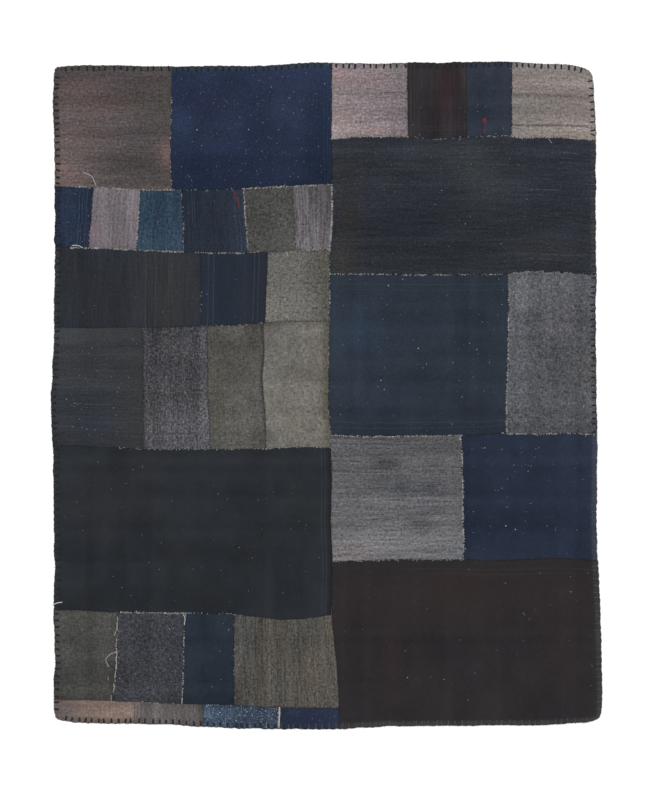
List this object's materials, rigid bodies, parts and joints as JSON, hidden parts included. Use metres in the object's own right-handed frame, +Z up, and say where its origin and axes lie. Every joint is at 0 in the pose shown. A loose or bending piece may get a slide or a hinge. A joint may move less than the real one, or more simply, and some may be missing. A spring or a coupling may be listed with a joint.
{
  "type": "patchwork kilim rug",
  "caption": "Flat rectangular floor rug of old hand-woven cloths sewn edge to edge, with an overcast hem, to lie on a floor.",
  "frame": {"origin": "centre of the bounding box, on the floor that the rug lies on", "axes": "+X across the rug, +Y along it from its foot to its head, +Z up from the floor"},
  "size_m": [2.0274, 2.4558, 0.0062],
  "materials": {
    "rose_brown": "worn hand-woven wool and hemp, matt",
    "linty_navy": "worn hand-woven wool and hemp, matt",
    "midnight_blue": "worn hand-woven wool and hemp, matt",
    "lavender_grey": "worn hand-woven wool and hemp, matt",
    "teal_denim": "worn hand-woven wool and hemp, matt",
    "slate_navy": "worn hand-woven wool and hemp, matt",
    "olive_grey": "worn hand-woven wool and hemp, matt",
    "striped_mauve": "worn hand-woven wool and hemp, matt",
    "blue_black": "worn hand-woven wool and hemp, matt",
    "lined_navy": "worn hand-woven wool and hemp, matt",
    "warm_grey": "worn hand-woven wool and hemp, matt",
    "charcoal": "worn hand-woven wool and hemp, matt",
    "flecked_mauve": "worn hand-woven wool and hemp, matt",
    "moss_brown": "worn hand-woven wool and hemp, matt",
    "pale_stone": "worn hand-woven wool and hemp, matt",
    "long_ink_black": "worn hand-woven wool and hemp, matt",
    "dark_olive": "worn hand-woven wool and hemp, matt",
    "heather_grey": "worn hand-woven wool and hemp, matt",
    "plain_navy": "worn hand-woven wool and hemp, matt",
    "bark_brown": "worn hand-woven wool and hemp, matt",
    "pink_brown": "worn hand-woven wool and hemp, matt",
    "striped_grey": "worn hand-woven wool and hemp, matt",
    "flecked_denim": "worn hand-woven wool and hemp, matt",
    "violet_navy": "worn hand-woven wool and hemp, matt",
    "pink_grey": "worn hand-woven wool and hemp, matt",
    "oxblood_brown": "worn hand-woven wool and hemp, matt",
    "knotted_navy": "worn hand-woven wool and hemp, matt",
    "pink_beige": "worn hand-woven wool and hemp, matt",
    "worn_charcoal": "worn hand-woven wool and hemp, matt",
    "large_teal_navy": "worn hand-woven wool and hemp, matt",
    "ash_grey": "worn hand-woven wool and hemp, matt",
    "streaked_grey": "worn hand-woven wool and hemp, matt",
    "deep_navy": "worn hand-woven wool and hemp, matt",
    "large_black_brown": "worn hand-woven wool and hemp, matt",
    "edge_yarn": "charcoal wool overcast stitches, matt",
    "pale_yarn": "undyed wool threads and fray, matt",
    "red_yarn": "red wool mending knot, matt"
  },
  "bodies": {
    "root": {"rose_brown": "rose_brown", "linty_navy": "linty_navy", "midnight_blue": "midnight_blue", "lavender_grey": "lavender_grey", "teal_denim": "teal_denim", "slate_navy": "slate_navy", "olive_grey": "olive_grey", "striped_mauve": "striped_mauve", "blue_black": "blue_black", "lined_navy": "lined_navy", "warm_grey": "warm_grey", "charcoal": "charcoal", "flecked_mauve": "flecked_mauve", "moss_brown": "moss_brown", "pale_stone": "pale_stone", "long_ink_black": "long_ink_black", "dark_olive": "dark_olive", "heather_grey": "heather_grey", "plain_navy": "plain_navy", "bark_brown": "bark_brown", "pink_brown": "pink_brown", "striped_grey": "striped_grey", "flecked_denim": "flecked_denim", "violet_navy": "violet_navy", "pink_grey": "pink_grey", "oxblood_brown": "oxblood_brown", "knotted_navy": "knotted_navy", "pink_beige": "pink_beige", "worn_charcoal": "worn_charcoal", "large_teal_navy": "large_teal_navy", "ash_grey": "ash_grey", "streaked_grey": "streaked_grey", "deep_navy": "deep_navy", "large_black_brown": "large_black_brown"}
  },
  "joints": []
}
